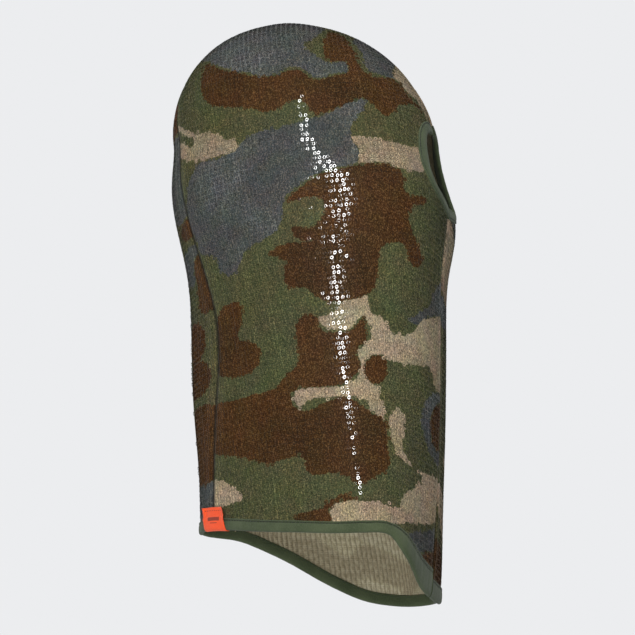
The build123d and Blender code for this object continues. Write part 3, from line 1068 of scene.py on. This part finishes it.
for side, name in ((-1, "right"), (1, "left")):
    stitches["eye_" + name] = stitch_run("eye_stitches_" + name, *eye_place(side, STITCH_FROM_EDGE, 0.86, 120),
                                         TAPE_THREAD, "green_tape")
    turns = hem_turns(side)
    if side < 0:
        turns = turns[6:]
    stitches["hem_" + name] = stitch_run("hem_stitches_" + name, *hem_row(turns, side, STITCH_FROM_EDGE, 0.86),
                                         TAPE_THREAD, "green_tape")
    places, normals = hem_row(turns, side, STITCH_FROM_EDGE, -2.2)
    stitches["hem_in_" + name] = stitch_run("hem_inside_stitches_" + name, places, -normals, TAPE_THREAD,
                                            "green_tape")


def seam_band(name, a, m, node, flip=False):
    """The overlocked allowance inside a seam: a low ribbon under the cloth's inner face."""
    place, n = skin(a, m, -CLOTH)
    along = np.gradient(place, axis=0)
    along /= np.linalg.norm(along, axis=1)[:, None]
    across = np.cross(n, along)
    rows = []
    for w, h in ((-3.4, -0.05), (-3.5, -0.6), (-3.0, -1.1), (-1.2, -1.35), (1.4, -1.45), (3.0, -1.2), (3.5, -0.6),
                 (3.3, -0.05)):
        rows.append(place + across * w * MM + n * h * MM)
    return swept(name, rows, OVERLOCK, node)


def down_gusset(side):
    z0 = -4.0
    zs = np.linspace(z0, -412, 210)
    x = np.interp(-zs, -GUSSET_HALF[:, 1], -GUSSET_HALF[:, 0])
    m = down(zs)
    return turn_for_x(side * x, m, front=False), m


m_front = np.arange(float(down(-181)), float(down(-478)), 2.0)
m_crown = np.arange(float(down(-96)), 1.0, -2.0)
seams = {
    "front_seam": seam_band("front_seam_allowance", np.full(m_front.shape, math.pi), m_front, "front_seam"),
    "crown_seam": seam_band("crown_seam_allowance", np.full(m_crown.shape, math.pi), m_crown, "crown_seam"),
    "right_back_seam": seam_band("right_back_seam_allowance", *down_gusset(-1), "right_back_seam"),
    "left_back_seam": seam_band("left_back_seam_allowance", *down_gusset(1), "left_back_seam"),
}


# ---------------------------------------------------------------- the label
LABEL_WIDTH, LABEL_FROM = 29.0, -10.5  # from 10.5 mm behind the right back seam
LABEL_LINE = [(16.5, 1.25), (15.0, 1.0), (12.0, 0.95), (9.6, 1.2), (8.2, 1.75), (5.0, 1.95), (2.0, 2.0), (0.2, 1.85),
              (-1.2, 1.1), (-1.7, -0.4), (-1.5, -1.9), (0.2, -2.95), (3.0, -3.15), (7.2, -3.0)]
LABEL_THICK = 0.45


def label_turn(w, level):
    """The turn w millimetres along the cloth from the right back seam, + towards the face."""
    a = gusset_turn(-1)
    s = LENGTHS.row(float(level))
    here = np.interp(abs(a), LENGTHS.t, s)
    return -np.interp(here + w, s, LENGTHS.t)


def make_label():
    ws = np.linspace(LABEL_FROM, LABEL_FROM + LABEL_WIDTH, 26)
    lines = smooth_line(LABEL_LINE, 60)
    top, bottom, bar, uv = [], [], [], []
    run = np.concatenate([[0], np.cumsum(np.hypot(*np.diff(lines, axis=0).T))])
    across = np.array([label_turn(w, down(-428)) for w in ws])
    levels = np.stack([level_on_hem(across, -1, d) for d in lines[:, 0]], 1)
    for w, a, m in zip(ws, across, levels):
        turns = np.full(len(lines), a)
        middle = w - LABEL_FROM - LABEL_WIDTH / 2
        lift = 1.7 * max(0, (middle - 7.5) / 5) ** 2 + 0.8 * max(0, (-middle - 9.5) / 3.0) ** 2
        droop = np.clip(lines[:, 0] / 16.0, 0, 1) * (lines[:, 1] > 0)
        off = lines[:, 1] + lift * droop * np.where(lines[:, 1] > 0, 1, 0)
        q, n = skin(turns, m, off)
        inward = np.where(lines[:, 1] > 0, -1, 1)[:, None]
        edge = np.clip((1.7 + lines[:, 0]) / 1.7, 0, 1)[:, None]
        top.append(q)
        bottom.append(q + n * inward * edge * LABEL_THICK * MM + np.array([0, 0, 1]) * (1 - edge) * LABEL_THICK * MM)
        # A broad woven bar and a thin one under it.
        on_face = np.where(lines[:, 1] > 0.5, 1.0, -9.0)
        long_bar = np.minimum(8.0 - abs(middle), 1.5 - np.abs(lines[:, 0] - 7.4))
        short_bar = np.minimum(5.0 - abs(middle), 0.4 - np.abs(lines[:, 0] - 4.3))
        bar.append(np.minimum(np.maximum(long_bar, short_bar), on_face))
        uv.append(np.column_stack([np.full(len(lines), w), run]) * MM)
    top, bottom = np.stack(top), np.stack(bottom)
    ni, nj = top.shape[:2]
    index = np.arange(ni * nj).reshape(ni, nj)
    count = ni * nj
    faces = []
    for i in range(ni - 1):
        for j in range(nj - 1):
            q = [int(index[i, j]), int(index[i + 1, j]), int(index[i + 1, j + 1]), int(index[i, j + 1])]
            faces += [q[::-1], [v + count for v in q]]
    faces += [[q, r, r + count, q + count] for r, q in rim_of(faces[::2])]
    ob = new_object("hem_label_cloth", np.vstack([top.reshape(-1, 3), bottom.reshape(-1, 3)]), faces)
    face_outward(ob)
    add_field(ob, "bar", np.tile(np.concatenate(bar), 2))
    add_uv(ob, np.tile(np.concatenate(uv), (2, 1)))
    finish_piece(ob, LABEL_CLOTH)
    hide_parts("hem_label")
    row = [j for j in range(nj) if lines[j, 1] > 0 and lines[j, 0] < 14.4][0]
    places = top[1:-1, row]
    normals = np.cross(np.gradient(places, axis=0), np.array([0, 0, -1.0]))
    normals /= np.linalg.norm(normals, axis=1)[:, None]
    outward = skin(label_turn(0.0, down(-428)), down(-415))[1]
    if normals[len(normals) // 2] @ outward < 0:
        normals = -normals
    rows = stitch_run("label_stitches", places, normals, LABEL_THREAD, "orange_label", 2.0, 0.7, 0.2)
    return ob, rows


label, label_stitches = make_label()


# ---------------------------------------------------------------- floor, light and camera
def plain_material(name, colour, rough=0.9):
    k = Nodes(name)
    k.bsdf.inputs["Base Color"].default_value = colour
    k.bsdf.inputs["Roughness"].default_value = rough
    return k.mat


def pale_light(name, colour):
    """Paper behind the object, evenly lit, as the eye sees it."""
    k = Nodes(name)
    glow = k.put("ShaderNodeEmission")
    glow.inputs["Color"].default_value = colour
    k.tree.nodes.remove(k.bsdf)
    k.tree.links.new(glow.outputs[0], k.out.inputs[0])
    return k.mat


PAPER = srgb(236, 237, 239)
floor = new_object("floor", [(-6, -6, -1.8), (6, -6, -1.8), (6, 6, -1.8), (-6, 6, -1.8)], [(0, 1, 2, 3)])
floor.data.materials.append(plain_material("pale_floor", PAPER))

around = 48
verts, faces = [], []
for z in (-8.0, 8.0):
    for i in range(around):
        w = 2 * math.pi * i / around
        verts.append((9 * math.cos(w), 9 * math.sin(w), z))
verts += [(0, 0, -8.0), (0, 0, 8.0)]
for i in range(around):
    q = (i + 1) % around
    faces += [(q, i, around + i, around + q), (i, q, 2 * around), (around + q, around + i, 2 * around + 1)]
paper = new_object("pale_surround", verts, faces)
paper.data.materials.append(pale_light("pale_surround", PAPER))
for ray in ("visible_diffuse", "visible_glossy", "visible_transmission", "visible_volume_scatter", "visible_shadow"):
    setattr(paper, ray, False)
floor.visible_camera = floor.visible_glossy = False

world = bpy.data.worlds.new("soft_studio")
world.use_nodes = True
bpy.context.scene.world = world
world.node_tree.nodes["Background"].inputs["Color"].default_value = (0.92, 0.95, 1.0, 1.0)
world.node_tree.nodes["Background"].inputs["Strength"].default_value = 0.30
world.cycles_visibility.glossy = False


def soft_box(name, azimuth, rise, away, width, height, power, glints=False, about=(0.0, -0.03, -0.25)):
    """A rectangular soft box that looks at the object. azimuth turns from -Y towards +X."""
    az, up = math.radians(azimuth), math.radians(rise)
    toward = Vector((math.sin(az) * math.cos(up), -math.cos(az) * math.cos(up), math.sin(up)))
    lamp = bpy.data.lights.new(name, "AREA")
    lamp.shape = "RECTANGLE"
    lamp.size, lamp.size_y, lamp.energy = width, height, power
    ob = bpy.data.objects.new(name, lamp)
    ob.location = Vector(about) + toward * away
    ob.rotation_euler = toward.to_track_quat("Z", "Y").to_euler()
    ob.visible_glossy = glints
    bpy.context.scene.collection.objects.link(ob)
    return ob


soft_box("key_soft_box", -97, 20.5, 2.2, 0.10, 0.58, 9.0, glints=True)
soft_box("near_fill", -86, 24, 2.6, 2.0, 2.4, 23)
soft_box("high_fill", -28, 52, 2.6, 2.2, 2.2, 32)
soft_box("low_fill", -82, -33, 2.4, 1.4, 0.6, 20)
soft_box("far_side_fill", 95, 25, 2.8, 2.0, 2.0, 38)
soft_box("back_fill", 175, 25, 2.8, 2.0, 2.0, 20)

scene = bpy.context.scene
scene.view_settings.view_transform = "Standard"
scene.view_settings.look = "None"
scene.view_settings.exposure = 0.0

lens = bpy.data.cameras.new("camera")
lens.sensor_width, lens.lens = 36.0, 184.25
lens.clip_end = 60
camera = bpy.data.objects.new("camera", lens)
az, up = DRAWN_AZIMUTH, DRAWN_RISE
away = Vector((-math.cos(az) * math.cos(up), -math.sin(az) * math.cos(up), -math.sin(up)))
camera.location = Vector(DRAWN_ABOUT * MM) + away * DRAWN_FROM * MM
camera.rotation_euler = away.to_track_quat("Z", "Y").to_euler()
scene.collection.objects.link(camera)
scene.camera = camera
